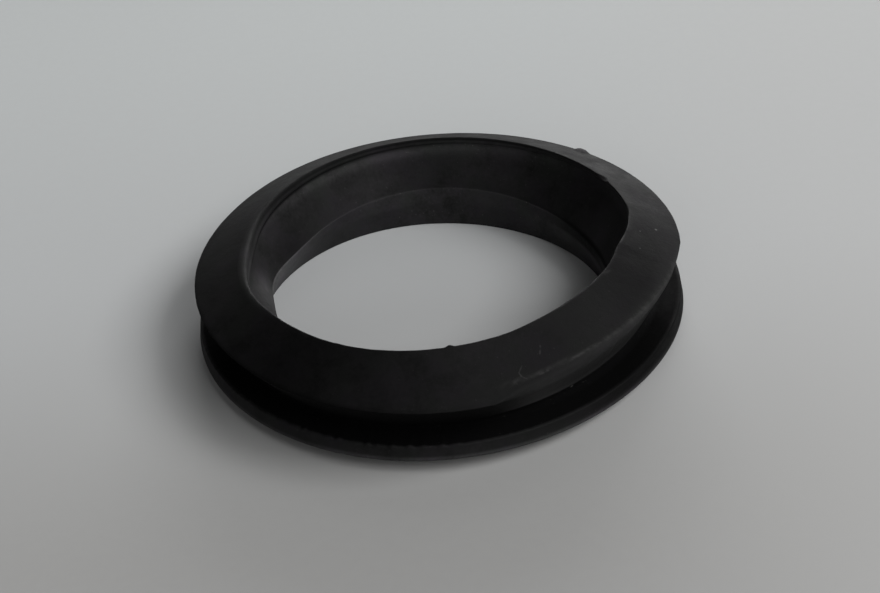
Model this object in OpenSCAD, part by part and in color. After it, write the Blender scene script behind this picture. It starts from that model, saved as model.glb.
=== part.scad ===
// Rubber grip ring: one moulded ring with a V-groove round the outside.
// It lies on its flat base, centred on the Z axis, with +Z up. Sizes in millimetres.

/* [Overall] */
// Diameter over the upper flange's lip
outer_d = 46; // [42:0.5:70]
// Height from the flat base to the top edge
ring_h = 9.2; // [7.6:0.1:14]

/* [Bore] */
// Diameter of the narrow band that grips the tube
bore_d = 31.2; // [20:0.2:36]
// Height of the grip band's lower edge above the base
band_z = 2.5; // [1.5:0.1:3]
// Length of the grip band along the axis
band_h = 1.4; // [0.8:0.1:1.8]
// How far the bore opens below the band, on the radius
base_flare = 0.7; // [0.2:0.1:1.5]
// How far the bore opens above the band, on the radius
top_flare = 2.2; // [0.6:0.1:2.6]
// Width of the small ledge on top of the band
ledge_w = 0.15; // [0.05:0.05:0.5]

/* [Upper flange] */
// Drop of the conical top from its inner edge to the lip
lip_drop = 2.4; // [1:0.1:3.2]
// Thickness of the lip at its edge
lip_t = 0.15; // [0.05:0.05:0.6]
// Radius of the rounded inner top edge
top_round = 0.35; // [0.15:0.05:0.6]
// Depth of the shallow recess under the inner top edge
recess_d = 0.2; // [0.05:0.05:0.35]

/* [Groove] */
// Depth of the groove, from the lip to its corner
groove_depth = 2.9; // [1.5:0.1:3.5]
// Height of the groove's corner above the base
groove_z = 2.85; // [2.3:0.05:3.5]
// Radius in the groove's corner
groove_round = 0.4; // [0.15:0.05:0.6]

/* [Lower flange] */
// Height of the land's top edge above the base
land_top = 2.6; // [2:0.05:3]
// Height of the land's bottom edge above the base
land_bottom = 1.15; // [0.6:0.05:1.6]
// How much the land leans in towards its top edge
land_lean = 0.25; // [0:0.05:0.6]
// How much wider the lip is than the land, on the radius
land_inset = 0.05; // [0:0.05:0.6]
// Width of the bevel under the land
base_bevel = 1.7; // [0.4:0.1:2.4]

/* [Wear] */
// Direction of the worn stretch of the lip, in degrees
wear_dir = -43; // [-180:1:180]
// Half the angle that the worn stretch covers
wear_half = 38; // [20:1:60]
// Depth of the wear in its middle
wear_depth = 1; // [0.3:0.1:1.8]
// Radius of the worn lip, from the top into the worn face
wear_round = 0.8; // [0.2:0.05:1.4]

/* [Hidden] */
$fn = 180;

lip_r = outer_d / 2;
bore_r = bore_d / 2;
band_top = band_z + band_h;
lip_z = ring_h - lip_drop;              // top of the lip's edge
top_r = bore_r + top_flare;             // inner edge of the conical top
base_r = bore_r + base_flare;           // bore at the base
groove_r = lip_r - groove_depth;
land_r = lip_r - land_inset;
recess_z = ring_h - 2.2 * top_round;    // top of the shallow recess

// Slope of the conical top, which runs from the lip and just touches the
// rounded inner edge
cone_w = lip_r - top_r - top_round;
cone_h = lip_drop - top_round;
cone_slope = (cone_w * cone_h + top_round
    * sqrt(cone_w * cone_w + cone_h * cone_h - top_round * top_round))
    / (cone_w * cone_w - top_round * top_round);

// Points of an arc about c, from angle a0 to a1
function arc(c, r, a0, a1, steps = 6) =
    [for (i = [0:steps]) let (a = a0 + (a1 - a0) * i / steps)
        [c[0] + r * cos(a), c[1] + r * sin(a)]];

// Arc that rounds the corner p between the points a and b
function unit(v) = v / norm(v);
function rounded(a, p, b, r) =
    let (u = unit(a - p), v = unit(b - p),
         half = acos(u * v) / 2,
         c = p + unit(u + v) * r / sin(half),
         t0 = p + u * r / tan(half), t1 = p + v * r / tan(half),
         a0 = atan2(t0[1] - c[1], t0[0] - c[0]),
         turn = atan2(t1[1] - c[1], t1[0] - c[0]) - a0,
         sweep = turn > 180 ? turn - 360 : turn < -180 ? turn + 360 : turn)
    arc(c, r, a0, a0 + sweep);

// The ring's section, anticlockwise from the base's inner edge
groove_corner = [groove_r, groove_z];
lip_under = [lip_r, lip_z - lip_t];
land_edge = [land_r - land_lean, land_top];
top_edge = [top_r, lip_z + cone_slope * (lip_r - top_r)];
section = concat(
    [[base_r, 0],
     [land_r - base_bevel, 0],
     [land_r, land_bottom],
     land_edge],
    rounded(land_edge, groove_corner, lip_under, groove_round),
    [lip_under, [lip_r, lip_z]],
    rounded([lip_r, lip_z], top_edge, [top_r, recess_z], top_round),
    [[top_r + recess_d, recess_z - top_round],
     [top_r, recess_z - 2.5 * top_round],
     [bore_r + ledge_w, band_top + 0.1],
     [bore_r, band_top],
     [bore_r, band_z]]);

// What the wear takes off the lip: all that lies outside a shifted round,
// which meets the lip's circle at both ends of the worn stretch. In the
// middle of the stretch its section runs from the conical top round the
// worn lip and straight down to the groove's corner.
worn_r = lip_r - wear_depth;
wear_shift = (lip_r * lip_r - worn_r * worn_r)
    / (2 * (worn_r - lip_r * cos(wear_half)));
wear_lift = 0.05 * wear_round;          // so the rounding crosses the cone in an edge
wear_foot = groove_corner + [0.04, 0]   // just clear of the rounding in the corner
    + unit(lip_under - groove_corner) * 1.9 * groove_round;
wear_c = [worn_r - wear_round,
          lip_z + wear_lift + cone_slope * (wear_depth + wear_round)
              - wear_round * sqrt(1 + cone_slope * cone_slope)];
foot_dir = wear_foot - wear_c;
wear_face = concat(
    arc(wear_c, wear_round, 80 - atan(cone_slope),
        atan2(foot_dir[1], foot_dir[0]) + acos(wear_round / norm(foot_dir))),
    [wear_foot]);
module worn_off() {
    far = lip_r + 2;
    rotate([0, 0, wear_dir])
        translate([-wear_shift, 0, 0])
            rotate_extrude()
                translate([wear_shift, 0])
                    polygon(concat(
                        wear_face,
                        [[far, wear_foot[1]],
                         [far, ring_h + 1],
                         [wear_face[0][0], ring_h + 1]]));
}

module grip_ring() {
    color("dimgray")
        difference() {
            rotate_extrude() polygon(section);
            worn_off();
        }
}

grip_ring();
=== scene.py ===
"""Rubber grip ring: the look of one moulded ring with a V-groove, on a pale paper floor.

Lengths are in millimetres and angles in degrees, unless a comment says otherwise. A
direction is an angle seen from above: 0 is +X and 90 is +Y. The photo looks along +Y.
"""
import math
import bpy
import numpy as np
from mathutils import Matrix, Vector


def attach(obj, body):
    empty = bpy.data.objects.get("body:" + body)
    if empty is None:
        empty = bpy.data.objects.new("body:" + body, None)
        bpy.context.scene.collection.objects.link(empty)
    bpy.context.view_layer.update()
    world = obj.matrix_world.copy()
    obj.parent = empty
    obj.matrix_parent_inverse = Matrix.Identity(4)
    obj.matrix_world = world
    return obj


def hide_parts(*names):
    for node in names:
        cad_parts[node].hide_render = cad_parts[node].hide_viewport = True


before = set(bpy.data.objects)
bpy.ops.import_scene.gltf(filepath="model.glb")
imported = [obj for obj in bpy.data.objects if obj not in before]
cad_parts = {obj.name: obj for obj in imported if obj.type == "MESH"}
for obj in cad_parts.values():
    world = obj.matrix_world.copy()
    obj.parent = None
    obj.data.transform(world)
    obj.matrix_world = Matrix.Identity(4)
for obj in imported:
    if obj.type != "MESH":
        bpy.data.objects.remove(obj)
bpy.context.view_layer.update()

MM = 0.001          # a millimetre in metres

# ---------------------------------------------------------------- shape
# Sizes from the CAD model
RING_R = 23.0       # radius over the lip
LAND_R = 22.95      # radius over the land
LIP_Z = 6.8         # height of the lip
INNER_R = 17.8      # radius of the inner top edge
GROOVE_R = 20.1     # radius of the groove's corner
BAND_R = 15.6       # radius of the grip band
WEAR_DIR, WEAR_HALF, WEAR_DEPTH = -43.0, 38.0, 1.0

STEPS = 840         # steps round the ring
az = np.linspace(-math.pi, math.pi, STEPS, endpoint=False)      # radians


def wave(mean, *terms):
    """A slow out-of-round: a mean and the cosine and sine part of each harmonic."""
    out = np.full_like(az, mean)
    for k, (c, s) in enumerate(terms, 1):
        out += c * np.cos(k * az) + s * np.sin(k * az)
    return out


def turn(deg):
    """Angle from a direction, -180 to 180."""
    return (np.degrees(az) - deg + 180) % 360 - 180


def bump(deg, half, power=2.0):
    """1 in the direction deg, falling to 1/e half degrees away."""
    return np.exp(-np.abs(turn(deg) / half) ** power)


def rough(seed, low, high, slope=0.6):
    """An uneven line round the ring, of harmonics low to high, about -1 to 1."""
    rng = np.random.default_rng(seed)
    out = np.zeros_like(az)
    for k in range(low, high):
        a = rng.normal() / k ** slope
        out += a * np.cos(k * az + rng.uniform(0, 2 * math.pi))
    return out / np.abs(out).max()


def fade(value, start, width):
    """0 at start, rising to 1 over the width, downwards if that is negative."""
    return np.clip((value - start) / width, 0, 1)


def ridge(value, middle, half):
    """1 at the middle value, falling to 1/e half away."""
    return np.exp(-((value - middle) / half) ** 2)


# The soft ring is a little out of round, differently at each edge.
off_lip = wave(-0.01, (0.15, 0.08), (-0.25, 0.08), (0.06, 0.02), (0.08, 0.0))
off_top = wave(-0.04, (0.01, 0.05), (-0.02, 0.48), (0.22, 0.04), (0.06, 0.08))
off_band = wave(0.2, (0.23, -0.08), (-0.31, -0.13), (0.06, -0.5)) + 0.75 * bump(170, 14)
off_hole = wave(0.34, (-0.63, -0.44), (0.22, -0.19), (0.09, -0.02))
off_low = wave(0.08, (0.03, 0.12), (0.03, 0.08), (0.06, 0.05), (0.08, 0.0))
off_groove = 0.5 * (off_lip + off_low)

# The worn stretch of the lip, as in the CAD model: a shifted round. The photo's wear
# is a little deeper.
MORE_WEAR = 0.15
worn_r = RING_R - WEAR_DEPTH
shift = (RING_R * RING_R - worn_r * worn_r) / (
    2 * (worn_r - RING_R * math.cos(math.radians(WEAR_HALF))))
t = np.radians(turn(WEAR_DIR))
round_r = -shift * np.cos(t) + np.sqrt((worn_r + shift) ** 2 - (shift * np.sin(t)) ** 2)
worn = np.clip((RING_R - round_r) / WEAR_DEPTH, 0, 1) * (np.abs(turn(WEAR_DIR)) < 90)
worn_soft = np.clip(worn * 2.5, 0, 1)
worn_soft = worn_soft * worn_soft * (3 - 2 * worn_soft)

# The lip's outline, with its flat places
lip_r = RING_R + off_lip * (1 - worn_soft) - (WEAR_DEPTH + MORE_WEAR) * worn
lip_r -= (0.22 * bump(142, 17) + 0.12 * bump(62, 16) + 0.12 * bump(158, 16)
          + 0.14 * bump(-8, 11))
lip_r += 0.02 * rough(3, 20, 160) + 0.03 * worn * rough(4, 12, 90)

# The wall under the inner top edge, and the edge itself, which has a notch at 23.5
# and a nub at -88.5
wall_r = INNER_R + off_top - 0.25 * bump(-143, 22) + 0.12 * bump(-72, 12)
wall_r += (0.1 * bump(-158, 9) - 0.42 * bump(179, 15) - 0.17 * bump(-112, 28)
           + 0.2 * bump(10, 14) - 0.32 * bump(-18, 8))
top_r = wall_r + 0.5 * bump(23.5, 2.2) + 0.2 * bump(4, 5) - 0.2 * bump(-88.5, 0.9)
top_r += 0.02 * rough(11, 14, 120)

CONE_TOP = 9.24     # height of the conical top at INNER_R
TOP_LIMIT = 9.5     # the highest that the inner top edge may be
CONE_SLOPE = (CONE_TOP - LIP_Z) / (RING_R - INNER_R)


def cone(r):
    """Height of the conical top at a radius."""
    return LIP_Z + (RING_R - r) * CONE_SLOPE


# The scuffed line on the cone where the worn lip begins to turn down, and how far the
# lip's rounding reaches from its sharp corner
line_r = np.minimum(21.48 + 0.00055 * turn(-54) ** 2 + 0.03 * rough(5, 10, 80),
                    RING_R - 0.25)
reach = 0.11 + np.clip((lip_r - line_r) / 0.6 - 0.11, 0, 0.75) * worn_soft
nose_r = lip_r + 0.3 * reach
land_r = LAND_R + off_low
LAND_LEAN = 0.25

# Corners of the section, anticlockwise from the base's inner edge. Each has its
# radius, its height, the reach of its rounding, the steps in that, and the steps in
# the side that follows it.
one = np.ones_like(az)
bead = bump(-176, 26)           # the rim is thick and round at the left
front = bump(-95, 48)           # the base is narrower and the land starts higher here
ragged = rough(7, 90, 220) * bump(-118, 36)     # the land's upper edge at the front
corners = [
    (16.3 + off_hole, 0.0 * one, 0.1, 3, 5),
    (21.0 + off_low - 0.5 * front, 0.0 * one, 0.3, 4, 3),
    (land_r, 1.15 + 0.15 * front, 0.1 + 0.15 * front, 4, 4),
    (land_r - LAND_LEAN, 2.6 + 0.17 * ragged, 0.12, 4, 7),
    (GROOVE_R + off_groove, 2.85 * one, 0.6, 6, 9),
    (nose_r, cone(nose_r), reach, 10, 16),
    (top_r, np.minimum(cone(top_r), TOP_LIMIT), 0.42 + 0.4 * bead, 9, 2),
    (wall_r + 0.02, 8.6 - 0.95 * bead, 0.05, 2, 2),
    (wall_r + 0.2, 8.35 - 1.0 * bead, 0.12, 4, 3),
    (wall_r - 0.08, 7.4 - 0.7 * bead, 0.3, 5, 14),
    (BAND_R + 0.15 + off_band, 4.0 * one, 0.05, 3, 1),
    (BAND_R + off_band, 3.9 * one, 0.08, 3, 3),
    (BAND_R + 0.6 * off_band + 0.4 * off_hole, 2.5 * one, 0.25, 4, 6),
]
(BASE_IN, BASE_OUT, LAND_LOW, LAND_HIGH, GROOVE, LIP, CREST, RECESS_TOP, RECESS,
 RECESS_LOW, LEDGE_OUT, LEDGE_IN, BAND_LOW) = range(len(corners))
SIDE = 0.5          # added to a corner's number, this is the side that follows it


def rounded_section(corners):
    """Points of the section at each step round the ring, and the corner of each."""
    sharp = np.array([[c[0], c[1]] for c in corners]).transpose(2, 0, 1)
    count = len(corners)
    arcs = []
    for k, (_, _, rounding, steps, _) in enumerate(corners):
        p, a, b = sharp[:, k], sharp[:, k - 1], sharp[:, (k + 1) % count]
        u, v = a - p, b - p
        lu, lv = np.linalg.norm(u, axis=1), np.linalg.norm(v, axis=1)
        u, v = u / lu[:, None], v / lv[:, None]
        # no rounding takes more than 0.45 of a side
        d = np.minimum(rounding * one, 0.45 * np.minimum(lu, lv))[:, None]
        s = np.linspace(0, 1, steps + 1)[None, :, None]
        t0, t1 = (p + u * d)[:, None], (p + v * d)[:, None]
        arcs.append((1 - s) ** 2 * t0 + 2 * s * (1 - s) * p[:, None] + s ** 2 * t1)
    parts, tags = [], []
    for k in range(count):
        arc, following, n = arcs[k], arcs[(k + 1) % count], corners[k][4]
        parts.append(arc)
        tags += [k] * arc.shape[1]
        if n > 1:
            s = (np.arange(1, n) / n)[None, :, None]
            parts.append(arc[:, -1:] * (1 - s) + following[:, :1] * s)
            tags += [k + SIDE] * (n - 1)
    return np.concatenate(parts, 1), np.array(tags)


section, tags = rounded_section(corners)        # step, point, (radius, height)
rad, high = section[:, :, 0], section[:, :, 1]

# A nub of flash on the lip at the back
NUB_DIR = 45.6
at_lip = fade(rad, 22.2, 0.5) * (high > 6.3)
high += 0.3 * bump(NUB_DIR, 1.7, 4)[:, None] * at_lip

points = section.shape[1]
x = rad * np.cos(az)[:, None]
y = rad * np.sin(az)[:, None]
co = np.stack([x, y, high], 2).reshape(-1, 3) * MM
i = np.arange(STEPS)[:, None]
j = np.arange(points)[None, :]
i2, j2 = (i + 1) % STEPS, (j + 1) % points
faces = np.stack([i * points + j, i2 * points + j, i2 * points + j2, i * points + j2], 2)

mesh = bpy.data.meshes.new("ring_skin")
mesh.from_pydata(co.tolist(), [], faces.reshape(-1, 4).tolist())
mesh.update()
mesh.shade_smooth()
ring = bpy.data.objects.new("ring_skin", mesh)
bpy.context.scene.collection.objects.link(ring)

# ---------------------------------------------------------------- masks
# Where the rubber is scuffed or worn, and where light and shade are painted on it, kept on the
# mesh for its material


def attribute(name, values):
    """Keep a value of 0 to 1 for each point of the mesh."""
    layer = mesh.attributes.new(name, "FLOAT", "POINT")
    layer.data.foreach_set("value", np.clip(values, 0, 1).astype(np.float32).ravel())


def part(first, last):
    """The points from one corner or side of the section to another."""
    return ((tags >= first) & (tags <= last))[None, :]


def side(deg, half, power=2.0):
    """bump() for the points of the mesh."""
    return bump(deg, half, power)[:, None]


on_top = part(LIP, CREST)
line_at, soft = line_r[:, None], worn_soft[:, None]
land_edge = land_r[:, None] - LAND_LEAN + 0.01

# the scuffed line, and the strip outside it
line_w = 0.13 + 0.10 * fade(turn(-60), 0, 30)[:, None]
line = ridge(rad, line_at, line_w) * on_top * soft
line *= (0.55 + 0.45 * rough(8, 15, 200))[:, None]
attribute("line", line)
attribute("strip", ((rad > line_at) & on_top) * (soft * fade(turn(-75), 0, 40)[:, None]))

# the groove: painted light on its upper wall where the lip is worn, and painted shade on the
# rest
wall = part(GROOVE + SIDE, GROOVE + SIDE)
painted_lit = np.clip(side(-52, 24, 4) * 1.2, 0, 1)
painted_groove_shade = part(LAND_HIGH + SIDE, GROOVE) * fade(rad, land_edge, -0.12) * (1 - 0.6 * side(-12, 14))
painted_groove_shade = np.where(wall, fade(rad, lip_r[:, None], -0.2) * (1 - painted_lit), painted_groove_shade)
# 1 at the start of the lip's rounding, next to that wall, and 0 at its end
turning = part(LIP, LIP) * np.clip(1.3 - np.cumsum(tags == LIP) / 7, 0, 1)
# painted shade in the groove and on the start of the lip's rounding
attribute("painted_groove_shade", painted_groove_shade + 0.8 * turning * (1 - painted_lit))
# painted light on the worn face, where the light falls on it
attribute("face", (wall + turning) * painted_lit)

attribute("dull", on_top * side(88, 40))

# Painted light and shade: a factor on the rubber's colour that makes each place lighter or
# darker as the light falls there
PAINTED_LIGHT_AND_SHADE_MAX = 16.0    # the attribute holds the factor divided by this
painted_light_and_shade = np.ones_like(rad)


def paint_light_and_shade(where, factor):
    """Multiply the painted light and shade by a factor where the mask is 1, fading with it."""
    painted_light_and_shade[:] = painted_light_and_shade * (1 + (factor - 1) * where)


upper_wall = part(CREST + SIDE, LEDGE_OUT)
lower_band = part(LEDGE_IN, BAND_LOW + SIDE) | part(BASE_IN, BASE_IN)
face = wall + turning

# conical top
paint_light_and_shade(on_top * side(-128, 24), 0.25)
paint_light_and_shade(on_top * side(-22, 16) * fade(rad, 21.4, -0.8), 0.5)
paint_light_and_shade(part(LIP, LIP) * side(-135, 45), 0.35)
paint_light_and_shade(part(CREST, CREST + SIDE) * side(-174, 22), 2.2)
paint_light_and_shade(at_lip * side(NUB_DIR, 1.9, 4), 7.0)
# upper wall of the bore
paint_light_and_shade(upper_wall * np.clip(1 - side(18, 42), 0, 1), 1.8)
paint_light_and_shade(upper_wall * side(8, 12), 1.9)
paint_light_and_shade(upper_wall * side(125, 34) * ridge(high, 7.8, 0.5), 2.3)
paint_light_and_shade(upper_wall * side(62, 34) * ridge(high, 8.2, 0.8), 2.4)
paint_light_and_shade(upper_wall * side(153, 15) * fade(high, 6.5, -2), 0.5)
paint_light_and_shade(upper_wall * side(-176, 9) * fade(high, 7.0, -2), 3.4)
paint_light_and_shade(part(RECESS_TOP + SIDE, RECESS) * side(145, 42), 0.25)
# ledge, grip band and bore below it
paint_light_and_shade(lower_band, 2.7)
paint_light_and_shade(lower_band * side(25, 28), 1.6)
paint_light_and_shade(lower_band * side(166, 20), 3.2)
paint_light_and_shade(part(LEDGE_OUT, LEDGE_IN + SIDE) * side(16, 22), 0.1)
# land and base
paint_light_and_shade(part(BASE_OUT + SIDE, LAND_HIGH + SIDE) * side(-14, 22), 0.35)
paint_light_and_shade(part(LAND_LOW, LAND_LOW), 2.6)
paint_light_and_shade(part(LAND_LOW, LAND_HIGH), 1.35)
paint_light_and_shade(part(LAND_LOW, LAND_LOW + SIDE) * front[:, None] * fade(high, 2.6, -1.3), 1.5)
paint_light_and_shade(part(LAND_LOW, LAND_HIGH + SIDE) * side(-36, 34) * fade(high, 1.35, 0.5), 0.16)
# worn face
paint_light_and_shade(face * side(-70, 9), 2.2)
paint_light_and_shade(wall * side(-56, 20) * fade(high, 4.6, -1.2), 2.4)
paint_light_and_shade(face * side(-68, 10) * fade(high, 5.0, 1.0), 0.75)
attribute("painted_light_and_shade", painted_light_and_shade / PAINTED_LIGHT_AND_SHADE_MAX)

# ---------------------------------------------------------------- shader nodes


def new_material(name):
    mat = bpy.data.materials.new(name)
    mat.use_nodes = True
    nt = mat.node_tree
    return mat, nt, nt.nodes["Principled BSDF"]


def feed(nt, value, socket):
    """Link a socket to an input, or set the input to a number, vector or colour."""
    if isinstance(value, bpy.types.NodeSocket):
        nt.links.new(value, socket)
    else:
        socket.default_value = value


def place(nt):
    """Position on the object, in metres."""
    return nt.nodes.new("ShaderNodeTexCoord").outputs["Object"]


def math_node(nt, op, a, b=0.0, clamp=False):
    n = nt.nodes.new("ShaderNodeMath")
    n.operation = op
    n.use_clamp = clamp
    feed(nt, a, n.inputs[0])
    feed(nt, b, n.inputs[1])
    return n.outputs[0]


def times(nt, a, b):
    return math_node(nt, "MULTIPLY", a, b)


def vector_node(nt, op, a, b, out="Vector"):
    """A vector operation; SCALE takes its factor from b."""
    n = nt.nodes.new("ShaderNodeVectorMath")
    n.operation = op
    feed(nt, a, n.inputs[0])
    feed(nt, b, n.inputs["Scale"] if op == "SCALE" else n.inputs[1])
    return n.outputs[out]


def noise(nt, scale, detail=3.0, roughness=0.55):
    n = nt.nodes.new("ShaderNodeTexNoise")
    n.inputs["Scale"].default_value = scale
    n.inputs["Detail"].default_value = detail
    n.inputs["Roughness"].default_value = roughness
    nt.links.new(place(nt), n.inputs["Vector"])
    return n.outputs["Fac"]


def ramp(nt, value, low, high, out_low=0.0, out_high=1.0):
    """A value eased from one range to another."""
    n = nt.nodes.new("ShaderNodeMapRange")
    n.interpolation_type = "SMOOTHSTEP"
    nt.links.new(value, n.inputs["Value"])
    names = ("From Min", "From Max", "To Min", "To Max")
    for key, v in zip(names, (low, high, out_low, out_high)):
        n.inputs[key].default_value = v
    return n.outputs["Result"]


def mask(nt, name):
    """One of the values kept on the mesh."""
    n = nt.nodes.new("ShaderNodeAttribute")
    n.attribute_name = name
    return n.outputs["Fac"]


def mix(nt, factor, a, b):
    """Two colours mixed; each is a colour or a socket."""
    n = nt.nodes.new("ShaderNodeMix")
    n.data_type = "RGBA"
    nt.links.new(factor, n.inputs["Factor"])
    for key, v in (("A", a), ("B", b)):
        socket = [s for s in n.inputs if s.name == key and s.type == "RGBA"][0]
        feed(nt, (*v, 1) if isinstance(v, tuple) else v, socket)
    return [s for s in n.outputs if s.type == "RGBA"][0]


def on_ring(deg, r, z=None):
    """A point of the ring in metres; on the conical top if it has no height."""
    a = math.radians(deg)
    return Vector((math.cos(a) * r, math.sin(a) * r, cone(r) if z is None else z)) * MM


def marks(nt, spots):
    """1 at small marks, each a direction, a radius, a size and perhaps a height."""
    total = 0.0
    for deg, r, size, *z in spots:
        away = vector_node(nt, "DISTANCE", place(nt), on_ring(deg, r, *z), "Value")
        hit = ramp(nt, away, size * MM, size * MM * 0.4)
        total = math_node(nt, "MAXIMUM", hit, total)
    return total


def scratches(nt, strokes):
    """1 on short straight scratches on the conical top, each from one direction and
    radius to another, with a width."""
    total = 0.0
    for deg0, r0, deg1, r1, width in strokes:
        start = on_ring(deg0, r0)
        way = on_ring(deg1, r1) - start
        rel = vector_node(nt, "SUBTRACT", place(nt), start)
        dot = vector_node(nt, "DOT_PRODUCT", rel, way / way.length_squared, "Value")
        along_it = math_node(nt, "MULTIPLY", dot, 1.0, clamp=True)
        foot = vector_node(nt, "SCALE", way, along_it)
        gap = vector_node(nt, "DISTANCE", rel, foot, "Value")
        total = math_node(nt, "MAXIMUM", ramp(nt, gap, width * MM, 0.0), total)
    return total


# ---------------------------------------------------------------- rubber
BLACK, GREY = (0.0026, 0.0028, 0.0026), (0.0138, 0.0133, 0.0139)
VIOLET_GREY, GREEN_GREY = (0.0078, 0.0066, 0.0087), (0.0068, 0.0078, 0.0068)
GROOVE_PAINTED_SHADE = (0.0006, 0.0006, 0.0007)
WORN_FACE_PAINTED_LIGHT = (0.017, 0.017, 0.017)
WORN_STRIP = (0.024, 0.0232, 0.0242)
SCUFF = (0.046, 0.0465, 0.045)
DUST = (0.04, 0.04, 0.038)
PALE_SPECK = (0.11, 0.11, 0.105)
NICK = (0.046, 0.045, 0.045)

rubber, nt, bsdf = new_material("black_rubber")
cloud = noise(nt, 130.0, 3.0, 0.5)          # blotches of 5 to 10 mm
blotch = noise(nt, 420.0, 4.0, 0.6)         # blotches of 2 to 3 mm
fine = noise(nt, 2600.0, 4.0, 0.65)         # mottling of 0.3 mm
grain = noise(nt, 7000.0, 3.0, 0.6)         # the moulded skin's grain
dust = noise(nt, 5200.0, 1.0, 0.4)          # specks of dust

tone = math_node(nt, "ADD", ramp(nt, cloud, 0.3, 0.7, 0.0, 0.45),
                 ramp(nt, blotch, 0.3, 0.7, 0.0, 0.35))
tone = math_node(nt, "ADD", tone, ramp(nt, fine, 0.25, 0.75, 0.0, 0.3))
colour = mix(nt, tone, BLACK, GREY)
# a faint shift from violet-grey to green-grey over a few millimetres
colour = mix(nt, ramp(nt, noise(nt, 210.0, 2.0), 0.42, 0.62, 0.0, 0.35), colour, VIOLET_GREY)
colour = mix(nt, ramp(nt, noise(nt, 260.0, 2.0), 0.46, 0.66, 0.0, 0.45), colour, GREEN_GREY)
# painted shade in the groove, painted light on the worn face, the worn strip and the scuffed
# line
colour = mix(nt, ramp(nt, mask(nt, "painted_groove_shade"), 0.0, 1.0, 0.0, 0.92), colour, GROOVE_PAINTED_SHADE)
colour = mix(nt, times(nt, mask(nt, "face"), 0.8), colour, WORN_FACE_PAINTED_LIGHT)
strip_tone = times(nt, mask(nt, "strip"), ramp(nt, blotch, 0.3, 0.7, 0.35, 0.75))
colour = mix(nt, strip_tone, colour, WORN_STRIP)
line_tone = times(nt, mask(nt, "line"), ramp(nt, fine, 0.3, 0.65, 0.35, 1.0))
colour = mix(nt, line_tone, colour, SCUFF)
colour = mix(nt, times(nt, ramp(nt, dust, 0.76, 0.78), 0.35), colour, DUST)
# pale specks and short scratches, where the photo shows them
pale = marks(nt, [
    (-3.1, 20.66, 0.16), (-6.7, 19.1, 0.09), (-15.1, 19.17, 0.09),
    (-88.5, 17.5, 0.16), (-58.3, 20.35, 0.25, 3.25), (45.4, 23.0, 0.15)])
nick = scratches(nt, [
    (-65.8, 19.55, -66.9, 20.16, 0.1), (-72.3, 20.65, -73.6, 21.1, 0.09),
    (-73.6, 21.1, -73.4, 21.5, 0.09), (-73.4, 21.5, -72.4, 21.8, 0.09),
    (-32.9, 17.45, -30.6, 17.65, 0.28), (-131.2, 18.15, -129.0, 18.3, 0.22),
    (-69.3, 21.75, -67.2, 21.68, 0.14), (-60.6, 21.55, -57.6, 21.5, 0.14),
    (-53.0, 21.5, -51.0, 21.52, 0.1), (157.2, 18.16, 159.0, 18.2, 0.15)])
colour = mix(nt, times(nt, pale, 0.85), colour, PALE_SPECK)
colour = mix(nt, times(nt, nick, ramp(nt, fine, 0.35, 0.6, 0.1, 0.6)), colour, NICK)
# the painted light and shade, as a factor on the colour
painted_light_and_shade_factor = times(nt, mask(nt, "painted_light_and_shade"), PAINTED_LIGHT_AND_SHADE_MAX)
nt.links.new(vector_node(nt, "SCALE", colour, painted_light_and_shade_factor), bsdf.inputs["Base Color"])

gloss = math_node(nt, "ADD", ramp(nt, blotch, 0.3, 0.7, 0.60, 0.72),
                  ramp(nt, fine, 0.3, 0.7, -0.03, 0.05))
gloss = math_node(nt, "ADD", gloss, times(nt, line_tone, 0.15))
gloss = math_node(nt, "ADD", gloss, times(nt, mask(nt, "dull"), 0.2))
gloss = math_node(nt, "ADD", gloss, times(nt, mask(nt, "painted_groove_shade"), 0.4), clamp=True)
nt.links.new(gloss, bsdf.inputs["Roughness"])
bsdf.inputs["IOR"].default_value = 1.45
bsdf.inputs["Specular IOR Level"].default_value = 0.1

skin = math_node(nt, "ADD", times(nt, grain, 0.25), times(nt, fine, 0.6))
skin = math_node(nt, "ADD", skin, times(nt, blotch, 1.6))
relief = nt.nodes.new("ShaderNodeBump")
relief.inputs["Strength"].default_value = 0.5
relief.inputs["Distance"].default_value = 0.00006       # metres
nt.links.new(skin, relief.inputs["Height"])
nt.links.new(relief.outputs["Normal"], bsdf.inputs["Normal"])
mesh.materials.append(rubber)

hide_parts("grip_ring")
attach(ring, "root")

# ---------------------------------------------------------------- floor
bpy.ops.mesh.primitive_plane_add(size=3, location=(0, 0, -0.00002))
floor = bpy.context.object
floor.name = "paper_floor"
paper, nt, bsdf = new_material("paper")


def along(nt, deg, low, high):
    """0 to 1 from low to high, in metres, along a level direction."""
    a = math.radians(deg)
    way = (math.cos(a), math.sin(a), 0)
    return ramp(nt, vector_node(nt, "DOT_PRODUCT", place(nt), way, "Value"), low, high)


# painted shade and light: the paper is darker towards the camera and warmer there, and lighter
# far off and to the right
paper_and_painted_light = mix(nt, along(nt, 90, -0.034, 0.014), (0.370, 0.368, 0.362), (0.492, 0.502, 0.506))
paper_and_painted_light = mix(nt, along(nt, 90, -0.005, 0.075), paper_and_painted_light, (0.55, 0.57, 0.57))
paper_and_painted_light = mix(nt, times(nt, along(nt, 0, 0.005, 0.05), 0.5), paper_and_painted_light, (0.56, 0.56, 0.555))
fibre = noise(nt, 900.0, 3.0, 0.6)
paper_and_painted_light = mix(nt, ramp(nt, fibre, 0.3, 0.7, 0.0, 0.06), paper_and_painted_light, (0.45, 0.45, 0.45))
nt.links.new(paper_and_painted_light, bsdf.inputs["Base Color"])
bsdf.inputs["Roughness"].default_value = 0.9
bsdf.inputs["Specular IOR Level"].default_value = 0.1
floor.data.materials.append(paper)

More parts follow.
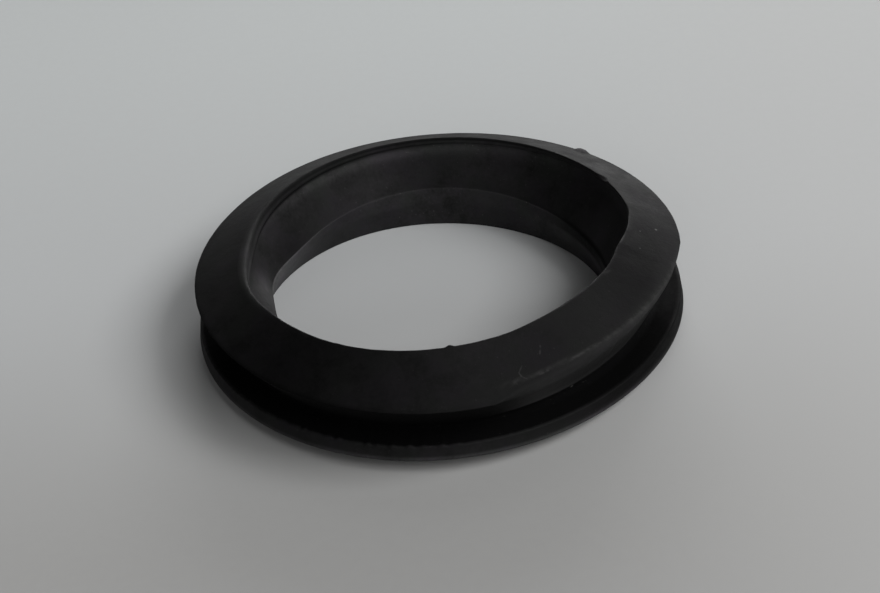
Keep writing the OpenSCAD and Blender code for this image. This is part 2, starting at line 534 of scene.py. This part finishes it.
# ---------------------------------------------------------------- light
world = bpy.data.worlds.new("room")
bpy.context.scene.world = world
world.use_nodes = True
back = world.node_tree.nodes["Background"]
back.inputs["Color"].default_value = (0.95, 0.98, 1.0, 1)
back.inputs["Strength"].default_value = 0.004

LAMP_DIST = 1.2     # metres from the ring
# name, direction, angle above the floor, width and height in metres, watts
LAMPS = [
    ("window", -10, 45, (0.58, 0.58), 7.8),
    ("window_left", -50, 45, (0.58, 0.58), 4.1),
    ("sill", -30, 25, (0.75, 0.55), 1.4),
    ("back_wall", 80, 14, (0.75, 0.55), 8.6),
    ("upper_back", 70, 45, (0.75, 0.75), 1.5),
    ("left_wall", 180, 14, (0.75, 0.55), 0.6),
    ("front_fill", -105, 28, (0.75, 0.55), 2.0),
]
for name, lamp_az, lamp_el, size, power in LAMPS:
    lamp = bpy.data.lights.new(name, "AREA")
    lamp.shape = "RECTANGLE"
    lamp.size, lamp.size_y = size
    lamp.energy = power
    ob = bpy.data.objects.new(name, lamp)
    a, e = math.radians(lamp_az), math.radians(lamp_el)
    away = Vector((math.cos(a) * math.cos(e), math.sin(a) * math.cos(e), math.sin(e)))
    ob.location = away * LAMP_DIST
    ob.rotation_euler = (-ob.location).to_track_quat("-Z", "Y").to_euler()
    bpy.context.scene.collection.objects.link(ob)

# ---------------------------------------------------------------- camera
# A phone held about 145 mm from the ring and rolled by five degrees
PICTURE_W = 880                     # pixels
FOCAL = 1500.0                      # pixels
SENSOR = 36.0
EYE_EL, EYE_ROLL = math.radians(35.69), math.radians(5.37)
EYE_DIST = 6.296 * RING_R * MM      # metres
AIM_X, AIM_Y = -0.8, 15.7           # how far the ring's middle is off the picture's, pixels

ce, se = math.cos(EYE_EL), math.sin(EYE_EL)
right, fwd, up = Vector((1, 0, 0)), Vector((0, ce, -se)), Vector((0, se, ce))
# pan and tilt by that offset, and then roll
pan, tilt = math.atan2(AIM_X, FOCAL), math.atan2(-AIM_Y, math.hypot(FOCAL, AIM_X))
right1 = right * math.cos(pan) + fwd * math.sin(pan)
fwd1 = -right * math.sin(pan) + fwd * math.cos(pan)
up2 = up * math.cos(tilt) + fwd1 * math.sin(tilt)
fwd2 = -up * math.sin(tilt) + fwd1 * math.cos(tilt)
cr, sr = math.cos(EYE_ROLL), math.sin(EYE_ROLL)
cam_x, cam_y, cam_z = right1 * cr - up2 * sr, right1 * sr + up2 * cr, -fwd2
cam = bpy.data.cameras.new("camera")
cam.sensor_fit = "HORIZONTAL"
cam.sensor_width = SENSOR
cam.lens = FOCAL * SENSOR / PICTURE_W
cam.clip_start = 0.005              # metres
eye = bpy.data.objects.new("camera", cam)
pose = Matrix((cam_x, cam_y, cam_z)).transposed().to_4x4()
pose.translation = -fwd * EYE_DIST
eye.matrix_world = pose
bpy.context.scene.collection.objects.link(eye)
bpy.context.scene.camera = eye
bpy.context.scene.view_settings.view_transform = "Standard"
